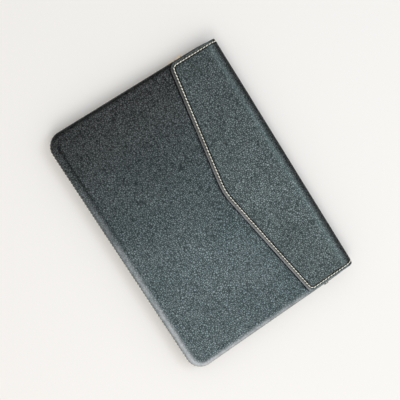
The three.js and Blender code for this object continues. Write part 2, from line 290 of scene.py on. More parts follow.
def finish_piece(name, shape, materials, body, slot, *nodes):
    """Puts a worked piece in its place on its body, in the stead of its plain solids."""
    mesh = bpy.data.meshes.new(name)
    shape.to_mesh(mesh)
    shape.free()
    for material in materials:
        mesh.materials.append(material)
    mesh.polygons.foreach_set("use_smooth", [True] * len(mesh.polygons))
    piece = bpy.data.objects.new(name, mesh)
    bpy.context.scene.collection.objects.link(piece)
    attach(piece, body)
    if nodes:
        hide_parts(*nodes)
    return piece


body_leather = grained_leather(
    "body_leather", (0.029, 0.050, 0.055), (0.056, 0.079, 0.085), 0.40, 0.00042
)


def quarter_round(width, height, count):
    """Steps of a rounded edge from its upright side to its flat side."""
    steps = []
    for k in range(count):
        turn = math.pi / 2 * k / count
        after = math.pi / 2 * (k + 1) / count
        across = width * (math.cos(turn) - math.cos(after))
        steps.append((across, height * (math.sin(after) - math.sin(turn))))
    return steps


def round_fold_corners(shape, radius):
    """Rounds the square corners beside the fold, in plan."""
    for side in (-1, 1):
        for v in shape.verts:
            u = side * v.co.x - (half_length - radius)
            w = v.co.y - (fold_edge - radius)
            if u > 0 and w > 0:
                shrink = max(u, w) / math.hypot(u, w)
                v.co.x = side * (half_length - radius + u * shrink)
                v.co.y = fold_edge - radius + w * shrink


def rim_rows(shape):
    """Rows across a shell that let it follow its corners, its nose and the hand of its maker."""
    cut_rows(shape, 0, spaced(-148 * mm, 148 * mm, 6 * mm))
    cut_rows(shape, 1, spaced(-98 * mm, 110 * mm, 6 * mm))
    for side in (-1, 1):
        cut_rows(shape, 0, [side * (half_length - k * mm) for k in (1, 2, 3, 4)])
    cut_rows(shape, 1, [fold_edge - k * mm for k in (1, 2, 3, 4)])


def tuck_ends(shape):
    """Draws both ends in a little towards the fold, where the flap is pulled tight over them."""
    for v in shape.verts:
        share = max(0, (v.co.y - fold_tuck_start) / (fold_edge - fold_tuck_start))
        v.co.x -= fold_tuck * share * share * v.co.x / half_length


def face_outwards(shape, middle):
    """Turns a clean skin so that its faces look away from the middle of the case."""
    bmesh.ops.remove_doubles(shape, verts=shape.verts, dist=0.03 * mm)
    bmesh.ops.recalc_face_normals(shape, faces=shape.faces)
    facing = 0
    for face in shape.faces:
        facing += face.normal.dot(face.calc_center_median() - middle) * face.calc_area()
    if facing < 0:
        bmesh.ops.reverse_faces(shape, faces=shape.faces)


def add_wall(piece, thickness):
    wall = piece.modifiers.new("wall", "SOLIDIFY")
    wall.thickness = thickness
    wall.offset = -1
    wall.use_even_offset = False
    wall.use_rim = True
    return wall


def take_up_skirt(shape, top, edge):
    """Upright skirt from the outline of a rim to the edge beside the zip."""
    around = [e for e in shape.edges if e.is_boundary]
    skirt = bmesh.ops.extrude_edge_only(shape, edges=around)
    for v in skirt["geom"]:
        if isinstance(v, bmesh.types.BMVert):
            v.co.z += edge - top


def rim_inset(height, start, rise, width):
    share = min(1, max(0, (height - start) / rise))
    return width * (1 - math.sqrt(1 - share * share))


back = cut_outline(0, 0)
back_wear = back.verts.layers.float.new("wear_and_sheen")
work_inwards(
    back,
    back_wear,
    [(across, rise, 0.5) for across, rise in quarter_round(back_edge_radius, back_edge_radius, 6)]
    + [(3 * mm, 0, 0.4), (6 * mm, 0, 0.15)],
)
take_up_skirt(back, 0, -(back_edge - back_edge_radius))
for v in back.verts:
    v.co.z = back_edge_radius - v.co.z
rim_rows(back)
round_fold_corners(back, fold_corner_radius)
draw_in_fold(
    back,
    lambda height: rim_inset(back_edge_radius - height, 0, back_edge_radius, back_edge_radius),
)
cut_rows(back, 1, [lap_edge, lap_edge + 0.1 * mm])
for v in back.verts:
    if v.co.y > lap_edge + 0.05 * mm:
        v.co.z = max(v.co.z, lap_depth)
    elif v.co.z < 0.01 * mm:
        v.co.z += 0.10 * mm * (1 + hand_wave(v.co.x, v.co.y, 3))
tuck_ends(back)
face_outwards(back, Vector((0, 0, 10 * mm)))
back_piece = finish_piece("back_leather", back, [body_leather], "case", "leather", "back_shell")
add_wall(back_piece, shell_wall)

# Front
# The front of the case, moulded in one piece as the back is but fuller: a broad rounded rim over cord and
# foam, and inside it a soft hollow round a flat middle that lies a little unevenly over the foam. The rim
# is painted paler towards the corner nearest the lamp, a painted highlight, and painted shade darkens the
# hollow beside the zipped side, the rim of the left end, the skirt and a line beside the flap's edge.
front_edge = 14.8 * mm
rim_start = 16.6 * mm
rim_height = 4.5 * mm
hollow_inset = 9.3 * mm
hollow_spread = 1.7 * mm
shade_inset = 3.0 * mm
shade_spread = 2.2 * mm
crease_inset = 0.75 * mm
lit_corner_reach = 270 * mm
highlight_middle = 3.4 * mm
highlight_spread = 3.5 * mm
highlight_narrowing = 0.6 * mm
front_flare = 0.7 * mm
flap_half = 163 * mm
flap_drop = 26.5 * mm
flap_slope = flap_drop / flap_half
flap_point_y = 25.5 * mm
flap_point_ease = 7 * mm


def beyond_flap(x, y):
    """How far a spot lies outside the pointed front edge of the flap, and less than nothing under it."""
    eased = math.hypot(x, flap_point_ease) - flap_point_ease * (1 - abs(x) / flap_half)
    return (flap_point_y + flap_slope * eased - y) / math.hypot(1, flap_slope)


def inside_edge(x, y):
    """How far a spot lies inside the outline of the case beside its zip, and which way is out from there."""
    u = abs(x) - (half_length - corner_radius)
    w = zip_edge + corner_radius - y
    side = 1 if x > 0 else -1
    if u > 0 and w > 0:
        reach = math.hypot(u, w)
        return corner_radius - reach, Vector((side * u / reach, -w / reach, 0))
    if half_length - abs(x) < y - zip_edge:
        return half_length - abs(x), Vector((side, 0, 0))
    return y - zip_edge, Vector((0, -1, 0))


front = cut_outline(0, rim_start)
front_highlight = front.verts.layers.float.new("wear_and_sheen")
front_painted_shade = front.verts.layers.float.new("painted_shade")
work_inwards(
    front,
    front_highlight,
    [
        (across, rise, 0) for across, rise in quarter_round(rim_width, rim_height, 9)
    ]
    + [
        (0.9 * mm, -0.15 * mm, 0),
        (0.9 * mm, -0.30 * mm, 0),
        (0.9 * mm, 0, 0),
        (1.1 * mm, 0.25 * mm, 0),
        (2.4 * mm, 0.20 * mm, 0),
    ],
)
take_up_skirt(front, rim_start, front_edge)
rim_rows(front)
cut_rows(front, 0, [0])
for side in (-1, 1):
    for offset in (-1.0, -0.2, 0.5, 1.2, 2.2):
        half_of = [g for g in front.verts if g.co.x * side >= -0.001 * mm]
        half_of += [g for g in front.edges if all(v.co.x * side >= -0.001 * mm for v in g.verts)]
        half_of += [g for g in front.faces if all(v.co.x * side >= -0.001 * mm for v in g.verts)]
        bmesh.ops.bisect_plane(
            front,
            geom=half_of,
            dist=0.00001,
            plane_co=Vector((0, flap_point_y - offset * mm * math.hypot(1, flap_slope), 0)),
            plane_no=Vector((side * flap_slope, -1, 0)).normalized(),
        )
round_fold_corners(front, fold_corner_radius)
draw_in_fold(front, lambda height: rim_inset(height, rim_start, rim_height, rim_width))
for v in front.verts:
    x, y = v.co.x, v.co.y
    inside, out = inside_edge(x, y)
    # Nearness to the corner by the lamp, where the rim gets a painted highlight and the hollow's painted
    # shade fades.
    lit_corner_nearness = max(0, 1 - math.hypot(x - half_length, y - zip_edge) / lit_corner_reach)
    # Painted shade in the hollow inside the rim beside the zipped side, fading towards the lit corner.
    hollow_shade = 0.7 * max(0, -out.y) * (1 - lit_corner_nearness) ** 2 * bell(inside - hollow_inset, hollow_spread)
    # Painted shade on the rim of the left end, which faces away from the lamp.
    shaded = 0.75 * max(0, -out.x) * bell(inside - shade_inset, shade_spread)
    # A crease pressed beside the flap's edge, darkened with painted shadow from the flap.
    crease_and_shadow = bell(beyond_flap(x, y) - crease_inset, crease_inset)
    crease_and_shadow *= min(1, max(0, inside / (4 * mm) - 0.5))
    if v.co.z > rim_start + 0.5 * mm:
        slack = 0.30 if y < 20 * mm else 0.10
        v.co.z += slack * mm * hand_wave(x, y, 5) - 0.8 * mm * crease_and_shadow
        v[front_painted_shade] = max(hollow_shade, shaded, crease_and_shadow)
    elif v.co.z < front_edge + 0.1 * mm:
        # The skirt under the rim is painted dark as shade.
        v[front_painted_shade] = 0.85
        v.co += out * front_flare * max(0, -out.y)
    # The rim's painted highlight: paler towards the corner nearest the lamp.
    narrower = highlight_narrowing * max(0, out.x)
    v[front_highlight] = lit_corner_nearness ** 1.05 * bell(inside - (highlight_middle - narrower), highlight_spread - narrower)
tuck_ends(front)
face_outwards(front, Vector((0, 0, 10 * mm)))
front_piece = finish_piece("front_leather", front, [body_leather], "case", "leather", "front_shell")
add_wall(front_piece, shell_wall)

# Gusset
# One strip of thinner, smoother leather closes the folded side between the rims and runs round to both
# ends of the zip. Its edges are sewn inside the rims, and its middle swells out between them.
gusset_low = 4.9 * mm
gusset_high = 16.3 * mm
gusset_leather = 1.4 * mm
gusset_inset = 2.9 * mm
gusset_recess = 0.7 * mm
gusset_ends = (76.8 * mm, 79.8 * mm)


def cut_ends(shape, ends, keep_fold):
    """Cuts a strip round the case at its left and right ends, and keeps the side with or without the fold."""
    along = Vector((2 * half_length, ends[1] - ends[0], 0))
    towards_zip = Vector((along.y, -along.x, 0)).normalized()
    bmesh.ops.bisect_plane(
        shape,
        geom=shape.verts[:] + shape.edges[:] + shape.faces[:],
        dist=0.00001,
        plane_co=Vector((-half_length, ends[0], 0)),
        plane_no=towards_zip if keep_fold else -towards_zip,
        clear_outer=True,
    )


def upright_band(inset, heights):
    """A strip standing on the outline of the case at a distance in, with rows at the heights given."""
    shape = cut_outline(inset, heights[0])
    bottom = shape.faces[:]
    edges = shape.edges[:]
    for low, high in zip(heights, heights[1:]):
        grown = bmesh.ops.extrude_edge_only(shape, edges=edges)["geom"]
        raised = [v for v in grown if isinstance(v, bmesh.types.BMVert)]
        bmesh.ops.translate(shape, vec=(0, 0, high - low), verts=raised)
        edges = [e for e in grown if isinstance(e, bmesh.types.BMEdge)]
    bmesh.ops.delete(shape, geom=bottom, context="FACES_ONLY")
    return shape


gusset_rows = [gusset_low, gusset_low + 0.8 * mm] + spaced(back_edge, front_edge, 0.84 * mm) + [gusset_high]
gusset = upright_band(0, gusset_rows)
gusset_wear = gusset.verts.layers.float.new("wear_and_sheen")
cut_ends(gusset, gusset_ends, True)
end_rows = [side * (half_length - k * mm) for side in (-1, 1) for k in (1, 2, 3, 4)]
cut_rows(gusset, 0, spaced(-156 * mm, 156 * mm, 6 * mm) + end_rows)
cut_rows(gusset, 1, spaced(82 * mm, 110 * mm, 4 * mm) + [fold_edge - k * mm for k in (1, 2, 3, 4)])
round_fold_corners(gusset, fold_corner_radius)
fold_seat = shell_wall + nose_inset(4.6 * mm) + 0.3 * mm
for v in gusset.verts:
    share = min(1, max(0, (v.co.z - back_edge) / (front_edge - back_edge)))
    swell = math.sin(math.pi * share)
    inset = gusset_inset - (gusset_inset - gusset_recess) * swell
    v.co.x *= (half_length - inset) / half_length
    start = 76 * mm
    v.co.y = start + (v.co.y - start) * (fold_edge - fold_seat * (1 - swell) - start) / (fold_edge - start)
    v[gusset_wear] = 0.25 * swell
tuck_ends(gusset)
face_outwards(gusset, Vector((0, 90 * mm, 10 * mm)))
gusset_finish = grained_leather(
    "gusset_leather", (0.024, 0.033, 0.036), (0.036, 0.047, 0.051), 0.6, 0.00007, cell=900
)
gusset_piece = finish_piece("gusset_strip", gusset, [gusset_finish], "case", "gusset_leather", "gusset")
add_wall(gusset_piece, gusset_leather)

# Zip tape
# Herringbone cotton tape in olive brown, sewn inside both rims and meeting behind the teeth. It starts at
# the slider, runs round the zipped side and ends under the tab.
tape_low = 4.9 * mm
tape_high = 16.3 * mm
tape_inset = 2.9 * mm
tape_thickness = 0.8 * mm
tape_ends = (74.4 * mm, 79.5 * mm)
zip_middle = 10.6 * mm
rib_pitch = 1.1 * mm
tape_thread_pitch = 0.5 * mm


def route_length(x, y, inset):
    """How far a point lies along the zip from the left end of the folded side, past both corners."""
    radius = corner_radius - inset
    straight = fold_edge - zip_edge - corner_radius
    turn = radius * math.pi / 2
    across = 2 * (half_length - corner_radius)
    u = abs(x) - (half_length - corner_radius)
    w = (zip_edge + corner_radius) - y
    if w <= 0:
        part = fold_edge - y
    elif u <= 0:
        part = straight + turn + across / 2 - abs(x)
    else:
        part = straight + radius * math.atan2(w, u)
    return part if x < 0 else 2 * (straight + turn) + across - part


def woven_tape(name, dark, light):
    """Woven cotton tape: slanting ribs that turn at its middle, over and under threads, and a dusty sheen."""
    cloth = bpy.data.materials.new(name)
    cloth.use_nodes = True
    tree = cloth.node_tree
    skin = tree.nodes["Principled BSDF"]
    route = add_node(tree, "ShaderNodeUVMap", uv_map="route").outputs["UV"]
    parts = add_node(tree, "ShaderNodeSeparateXYZ", {0: route})
    folded = add_node(tree, "ShaderNodeMath", {0: parts.outputs["Y"]}, operation="ABSOLUTE").outputs[0]
    slanted = add_node(tree, "ShaderNodeMath", {0: parts.outputs["X"], 1: folded}, operation="ADD").outputs[0]
    angle = add_node(
        tree, "ShaderNodeMath", {0: slanted, 1: 2 * math.pi / rib_pitch}, operation="MULTIPLY"
    ).outputs[0]
    ribs = add_node(tree, "ShaderNodeMath", {0: angle}, operation="SINE").outputs[0]
    across = add_node(
        tree,
        "ShaderNodeMath",
        {0: parts.outputs["Y"], 1: 2 * math.pi / tape_thread_pitch},
        operation="MULTIPLY",
    ).outputs[0]
    threads = add_node(tree, "ShaderNodeMath", {0: across}, operation="SINE").outputs[0]
    weave = add_node(tree, "ShaderNodeMath", {0: ribs, 1: threads}, operation="ADD").outputs[0]
    place = add_node(tree, "ShaderNodeTexCoord").outputs["Object"]
    fuzz = add_node(
        tree, "ShaderNodeTexNoise", {"Vector": place, "Scale": 900.0, "Detail": 4.0}
    ).outputs["Fac"]
    height = add_node(tree, "ShaderNodeMath", {0: weave, 1: fuzz}, operation="ADD").outputs[0]
    shade = add_node(
        tree, "ShaderNodeMapRange", {"Value": height, "From Min": -1.6, "From Max": 2.4}
    ).outputs[0]
    dye = add_node(tree, "ShaderNodeValToRGB", {"Fac": shade})
    dye.color_ramp.elements[0].color = (*dark, 1)
    dye.color_ramp.elements[1].color = (*light, 1)
    tree.links.new(dye.outputs["Color"], skin.inputs["Base Color"])
    relief = add_node(
        tree, "ShaderNodeBump", {"Height": height, "Strength": 0.7, "Distance": 0.00009}
    ).outputs["Normal"]
    tree.links.new(relief, skin.inputs["Normal"])
    skin.inputs["Roughness"].default_value = 0.88
    skin.inputs["Sheen Weight"].default_value = 0.25
    skin.inputs["Sheen Roughness"].default_value = 0.5
    return cloth


tape = upright_band(tape_inset, spaced(tape_low, tape_high, 0.57 * mm))
cut_ends(tape, tape_ends, False)
cut_rows(tape, 0, spaced(-145 * mm, 145 * mm, 10 * mm))
cut_rows(tape, 1, spaced(-98 * mm, 70 * mm, 10 * mm))
tape_route = tape.loops.layers.uv.new("route")
for face in tape.faces:
    for loop in face.loops:
        spot = loop.vert.co
        loop[tape_route].uv = (route_length(spot.x, spot.y, tape_inset), spot.z - zip_middle)
for v in tape.verts:
    bead = bell(v.co.z - zip_middle, 1.1 * mm)
    away = Vector((v.co.x, v.co.y, 0)) - Vector((0, 20 * mm, 0))
    v.co -= 0.12 * mm * bead * away.normalized()
face_outwards(tape, Vector((0, 0, 10 * mm)))
tape_cloth = woven_tape("tape_cloth", (0.050, 0.041, 0.022), (0.150, 0.127, 0.077))
tape_piece = finish_piece("zip_tape_cloth", tape, [tape_cloth], "case", "zip_tape", "zip_tape")
add_wall(tape_piece, tape_thickness)

# Zip teeth
# Small stamped brass teeth, clamped in turn to the edge of the upper and of the lower tape, so that they
# lock together along the middle.
tooth_pitch = 1.05 * mm
tooth_reach = 2.7 * mm
tooth_out = 1.1 * mm
tooth_width = 0.82 * mm
tooth_row = 2.05 * mm


def brushed_brass(name, bright, dull, roughness):
    """Antique brass: rubbed bright in patches and dulled brown in others, with fine scratches."""
    brass = bpy.data.materials.new(name)
    brass.use_nodes = True
    tree = brass.node_tree
    skin = tree.nodes["Principled BSDF"]
    place = add_node(tree, "ShaderNodeTexCoord").outputs["Object"]
    tarnish = add_node(
        tree, "ShaderNodeTexNoise", {"Vector": place, "Scale": 420.0, "Detail": 5.0, "Roughness": 0.65}
    ).outputs["Fac"]
    tone = add_node(tree, "ShaderNodeValToRGB", {"Fac": tarnish})
    tone.color_ramp.elements[0].position = 0.36
    tone.color_ramp.elements[0].color = (*dull, 1)
    tone.color_ramp.elements[1].position = 0.6
    tone.color_ramp.elements[1].color = (*bright, 1)
    tree.links.new(tone.outputs["Color"], skin.inputs["Base Color"])
    gloss = add_node(
        tree, "ShaderNodeMapRange", {"Value": tarnish, "To Min": roughness + 0.2, "To Max": roughness - 0.06}
    ).outputs[0]
    tree.links.new(gloss, skin.inputs["Roughness"])
    scratch = add_node(
        tree, "ShaderNodeTexNoise", {"Vector": place, "Scale": 2400.0, "Detail": 2.0}
    ).outputs["Fac"]
    relief = add_node(
        tree, "ShaderNodeBump", {"Height": scratch, "Strength": 0.25, "Distance": 0.00003}
    ).outputs["Normal"]
    tree.links.new(relief, skin.inputs["Normal"])
    skin.inputs["Metallic"].default_value = 1.0
    return brass


def spots_round(inset, start, stop, pitch):
    """Even places along the outline of the case, each with its way along and its way out."""
    radius = corner_radius - inset
    x = half_length - inset
    left = half_length - corner_radius
    low = zip_edge + corner_radius
    runs = [
        ("down", fold_edge - low),
        ("left turn", radius * math.pi / 2),
        ("across", 2 * left),
        ("right turn", radius * math.pi / 2),
        ("up", fold_edge - low),
    ]
    spots = []
    count = int((stop - start) / pitch)
    for k in range(count + 1):
        part = start + k * pitch
        for kind, length in runs:
            if part <= length or kind == "up":
                break
            part -= length
        if kind == "down":
            spot, way = Vector((-x, fold_edge - part, 0)), Vector((0, -1, 0))
        elif kind == "left turn":
            angle = math.pi + part / radius
            spot = Vector((-left + radius * math.cos(angle), low + radius * math.sin(angle), 0))
            way = Vector((-math.sin(angle), math.cos(angle), 0))
        elif kind == "across":
            spot, way = Vector((-left + part, zip_edge + inset, 0)), Vector((1, 0, 0))
        elif kind == "right turn":
            angle = 1.5 * math.pi + part / radius
            spot = Vector((left + radius * math.cos(angle), low + radius * math.sin(angle), 0))
            way = Vector((-math.sin(angle), math.cos(angle), 0))
        else:
            spot, way = Vector((x, low + part, 0)), Vector((0, 1, 0))
        spots.append((spot, way, Vector((way.y, -way.x, 0))))
    return spots


def stand(spot, along, out, up, height=0.0):
    """Turns and places a small piece: its own X runs along, its Y out and its Z up."""
    turn = Matrix((along, out, up)).transposed().to_4x4()
    return Matrix.Translation(spot + Vector((0, 0, height))) @ turn


tooth = bmesh.new()
bmesh.ops.create_cube(tooth, size=1)
bmesh.ops.scale(tooth, vec=(tooth_width, tooth_out, tooth_reach), verts=tooth.verts)
inner_end = [e for e in tooth.edges if all(v.co.z > 0 for v in e.verts)]
bmesh.ops.bevel(
    tooth,
    geom=inner_end,
    offset=0.28 * mm,
    offset_type="OFFSET",
    segments=1,
    profile=0.5,
    affect="EDGES",
    material=-1,
)
tooth_mesh = bpy.data.meshes.new("tooth_pattern")
tooth.to_mesh(tooth_mesh)
tooth.free()

teeth = bmesh.new()
teeth_inset = 1.5 * mm + tooth_out / 2
route_start = fold_edge - 71.0 * mm
route_end = route_length(half_length - teeth_inset, 72.6 * mm, teeth_inset)
for number, (spot, along, out) in enumerate(spots_round(teeth_inset, route_start, route_end, tooth_pitch)):
    side = 1 if number % 2 else -1
    first = len(teeth.verts)
    teeth.from_mesh(tooth_mesh)
    teeth.verts.ensure_lookup_table()
    up = Vector((0, 0, -side))
    placed = stand(spot, along * -side, out, up, zip_middle + side * (tooth_row - tooth_reach / 2))
    bmesh.ops.transform(teeth, matrix=placed, verts=teeth.verts[first:])
bpy.data.meshes.remove(tooth_mesh)
tooth_brass = brushed_brass("tooth_brass", (0.60, 0.46, 0.24), (0.24, 0.17, 0.08), 0.36)
teeth_piece = finish_piece("zip_teeth_brass", teeth, [tooth_brass], "case", "zip_teeth", "zip_teeth")
teeth_piece.data.polygons.foreach_set("use_smooth", [False] * len(teeth_piece.data.polygons))

# Zip slider and puller
# A cast brass slider with an arched bail, and a stamped brass tongue that hangs on it by a pin. Both keep
# the shape of their solids, with every edge eased as tumbling eases it.


def eased_copy(name, node, material, slot, ease):
    """A solid's own shape as one joined skin with rounded edges."""
    shape = bmesh.new()
    shape.from_mesh(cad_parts[node].data)
    bmesh.ops.remove_doubles(shape, verts=shape.verts, dist=0.000002)
    bmesh.ops.dissolve_limit(
        shape,
        angle_limit=math.radians(1),
        use_dissolve_boundaries=False,
        verts=shape.verts,
        edges=shape.edges,
    )
    body = "puller" if node == "zip_puller" else "case"
    piece = finish_piece(name, shape, [material], body, slot, node)
    edge = piece.modifiers.new("eased", "BEVEL")
    edge.width = ease
    edge.segments = 2
    edge.limit_method = "ANGLE"
    edge.angle_limit = math.radians(30)
    piece.data.polygons.foreach_set("use_smooth", [False] * len(piece.data.polygons))
    return piece


slider_brass = brushed_brass("slider_brass", (1.0, 0.72, 0.34), (0.50, 0.34, 0.15), 0.30)
eased_copy("zip_slider_brass", "zip_slider", slider_brass, "zip_metal", 0.14 * mm)
eased_copy("zip_puller_brass", "zip_puller", slider_brass, "zip_metal", 0.12 * mm)

# Tab over the far end of the zip
# A short piece of paler woven tape folded over the end of the zip, so that the ends of its teeth don't catch.
# It is glued down and pressed flat, with soft rounded edges.
tab_cloth = woven_tape("tab_cloth", (0.080, 0.075, 0.064), (0.170, 0.160, 0.138))
tab_piece = eased_copy("zip_tab_cloth", "zip_end_tab", tab_cloth, "zip_tape", 0.25 * mm)
tab_route = tab_piece.data.uv_layers.new(name="route")
for loop in tab_piece.data.loops:
    spot = tab_piece.data.vertices[loop.vertex_index].co
    tab_route.data[loop.index].uv = (spot.y + spot.x, spot.z - zip_middle)

# Flap
# One thick sheet of the same leather. Its tail is sewn under the back, it bends round the folded side, and
# its front ends in a blunt point. The cut edge is sanded and painted a paler grey, with a painted highlight
# along its very edge, and a groove is pressed for the stitches just inside it, its inner wall darkened with
# painted shade. The fold's nose is darkened with painted shade with a painted highlight beside it, and the
# sheet is painted paler towards the right end as painted light.
flap_leather = 1.8 * mm
flap_tail_y = 81 * mm
flap_nose_y = 105 * mm
flap_nose_out = 14 * mm
flap_top = 23.2 * mm
flap_cut_slope = 27.6 * mm / flap_half
flap_side_reach = 53 * mm
flap_point_bevel = 14 * mm
flap_corner_bevel = 8.5 * mm
flap_corner_round = 10 * mm
painted_edge = 2.4 * mm
painted_side = 0.6 * mm
groove_inset = 3.6 * mm
groove_depth = 0.60 * mm
groove_spread = 0.80 * mm
groove_shade_inset = 4.75 * mm
nose_steps = 400

nose_table = [(0.0, -math.pi / 2)]
for k in range(nose_steps):
    before = -math.pi / 2 + math.pi * k / nose_steps
    after = -math.pi / 2 + math.pi * (k + 1) / nose_steps
    step = math.hypot(
        flap_nose_out * (math.cos(after) - math.cos(before)),
        flap_top / 2 * (math.sin(after) - math.sin(before)),
    )
    nose_table.append((nose_table[-1][0] + step, after))
nose_length = nose_table[-1][0]
lap_flat = flap_nose_y - flap_tail_y
front_flat = lap_flat + nose_length
side_length = front_flat + flap_side_reach
point_length = side_length + flap_drop
cut_length = side_length + flap_cut_slope * flap_half


def nose_angle(part):
    share = part / nose_length * nose_steps
    k = min(nose_steps - 1, int(share))
    return nose_table[k][1] + (nose_table[k + 1][1] - nose_table[k][1]) * (share - k)


def bend(x, s, lift=0.0):
    """Where a point of the flat flap comes to lie: x across it and s along it from its sewn tail."""
    if s < lap_flat:
        y, z, out = flap_tail_y + s, 0.0, Vector((0, 0, -1))
    elif s < front_flat:
        angle = nose_angle(s - lap_flat)
        y = flap_nose_y + flap_nose_out * math.cos(angle)
        z = flap_top / 2 * (1 + math.sin(angle))
        out = Vector((0, math.cos(angle) * flap_top / 2, math.sin(angle) * flap_nose_out)).normalized()
    else:
        y, z, out = flap_nose_y - (s - front_flat), flap_top, Vector((0, 0, 1))
    over = max(0, abs(x) - (half_length - rim_width)) / rim_width
    z = min(z, flap_top - rim_height * (1 - math.sqrt(1 - over * over)))
    return Vector((x, y, z)) + out * lift


flap = bmesh.new()
bmesh.ops.create_grid(flap, x_segments=1, y_segments=1, size=1)
bmesh.ops.scale(flap, vec=(flap_half, cut_length / 2, 1), verts=flap.verts)
bmesh.ops.translate(flap, vec=(0, -cut_length / 2, 0), verts=flap.verts)
for side in (-1, 1):
    bmesh.ops.bisect_plane(
        flap,
        geom=flap.verts[:] + flap.edges[:] + flap.faces[:],
        dist=0.00001,
        plane_co=Vector((0, -cut_length, 0)),
        plane_no=Vector((side * flap_cut_slope, -1, 0)).normalized(),
        clear_outer=True,
    )
for chosen, offset, count in (
    ([v for v in flap.verts if v.co.y < -cut_length + mm], flap_point_bevel, 8),
    (
        [v for v in flap.verts if abs(v.co.x) > flap_half - mm and v.co.y < -100 * mm],
        flap_corner_bevel,
        10,
    ),
):
    bmesh.ops.bevel(
        flap,
        geom=chosen,
        offset=offset,
        offset_type="OFFSET",
        segments=count,
        profile=0.5,
        affect="VERTICES",
        material=-1,
    )
flap_wear_and_highlight = flap.verts.layers.float.new("wear_and_sheen")
flap_painted_shade = flap.verts.layers.float.new("painted_shade")
from_edge = flap.verts.layers.float.new("from_edge")
# A pale line along the very edge: paler edge paint with a painted highlight.
for v in flap.verts:
    v[flap_wear_and_highlight] = 1.0
middle = flap.faces[:][0]
distance = 0.0
# Rows in from the edge with their wear and sheen; the faint one past the groove is a painted highlight.
edge_rows = [(0.5, 0.5), (0.9, 0.1), (0.9, 0)] + [(0.6, 0)] * 4 + [(0.7, 0), (0.8, 0.05), (4.0, 0)]
for across, wear_and_sheen in edge_rows:
    bmesh.ops.inset_region(
        flap, faces=[middle], thickness=across * mm, depth=0, use_boundary=True, use_even_offset=True
    )
    distance += across * mm
    for v in middle.verts:
        v[flap_wear_and_highlight] = wear_and_sheen
        v[from_edge] = distance
for face in flap.faces:
    at_side = face.calc_center_median().y > -side_length + 2 * mm
    if max(v[from_edge] for v in face.verts) < (painted_side if at_side else painted_edge):
        face.material_index = 1
side_rows = [side * k * mm for side in (-1, 1) for k in (155, 157, 158.5)]
cut_rows(flap, 0, spaced(-150 * mm, 150 * mm, 5 * mm) + side_rows)
cut_rows(flap, 1, [-s for s in spaced(10 * mm, lap_flat - 2 * mm, 5 * mm)])
cut_rows(flap, 1, [-s for s in spaced(lap_flat, front_flat, 1.7 * mm)])
cut_rows(flap, 1, [-s for s in spaced(front_flat + 3 * mm, side_length + 15 * mm, 5 * mm)])
for v in flap.verts:
    x, s = v.co.x, -v.co.y
    edge = v[from_edge]
    groove = -groove_depth * bell(edge - groove_inset, groove_spread)
    shoulder = 0.22 * mm * bell(edge - 5.6 * mm, 1.2 * mm)
    eased = -0.50 * mm * max(0, 1 - edge / painted_edge) ** 2
    slack = 0.16 * mm * (1 + hand_wave(x, s, 11)) if s > lap_flat + 8 * mm else 0.0
    v.co = bend(x, s, groove + shoulder + eased + slack * min(1, edge / (8 * mm)))
    v.co.z = max(0, v.co.z)
    # Painted shade along the groove's inner wall and over the rounded nose of the fold.
    nose_shade_share = max(0, 1 - abs(s - (lap_flat + front_flat) / 2) / (17.5 * mm))
    v[flap_painted_shade] = max(bell(edge - groove_shade_inset, 1.1 * mm), 0.85 * min(1, 2.6 * nose_shade_share))
    # Painted highlight beside the fold's nose, and painted light: paler towards the right end.
    fold_highlight = bell(s - front_flat + 1.2 * mm, 2.8 * mm)
    v[flap_wear_and_highlight] = max(v[flap_wear_and_highlight] * (0.65 + x / (2.9 * flap_half)), 0.20 * fold_highlight)
flap_finish = grained_leather(
    "flap_leather",
    (0.035, 0.054, 0.056),
    (0.060, 0.084, 0.087),
    0.40,
    0.00036,
    # Bluish painted highlight where the wear and sheen is high.
    rub_and_highlight=(0.20, 0.31, 0.33),
    # Painted light: paler towards the right end.
    painted_light_range=(0.95, 1.55),
)
edge_paint = grained_leather(
    "flap_edge_paint",
    (0.050, 0.052, 0.055),
    (0.085, 0.087, 0.090),
    0.5,
    0.00003,
    cell=1500,
    # Pale edge colour: partly the real edge paint, partly a painted highlight.
    rub_and_highlight=(0.30, 0.295, 0.30),
)
bmesh.ops.recalc_face_normals(flap, faces=flap.faces)
top_faces = [f for f in flap.faces if f.calc_center_median().z > flap_top - mm]
if sum(f.normal.z * f.calc_area() for f in top_faces) < 0:
    bmesh.ops.reverse_faces(flap, faces=flap.faces)
flap_finishes = [flap_finish, edge_paint]
flap_piece = finish_piece("flap_leather_sheet", flap, flap_finishes, "case", "flap_leather", "flap")
flap_wall = add_wall(flap_piece, flap_leather)
flap_wall.material_offset_rim = 1
flap_edge = flap_piece.modifiers.new("sanded_edge", "BEVEL")
flap_edge.width = 0.3 * mm
flap_edge.segments = 2
flap_edge.limit_method = "ANGLE"
flap_edge.angle_limit = math.radians(50)

# Saddle stitching
# Waxed cream thread, sewn by hand through punched holes: round the whole flap in its pressed groove, and
# along both rims beside the zip. Each stitch slants a little and dips into its hole at both ends.
stitch_pitch = 4.2 * mm
stitch_length = 3.8 * mm
thread_thick = 1.1 * mm
hole_radius = 0.62 * mm
stitch_sunk = 0.20 * mm
tail_stitch_sunk = 0.47 * mm
hole_sunk = 0.52 * mm
rim_sewn_from = 27 * mm
rim_stitch_out = 0.27 * mm
rim_hole_out = 0.03 * mm


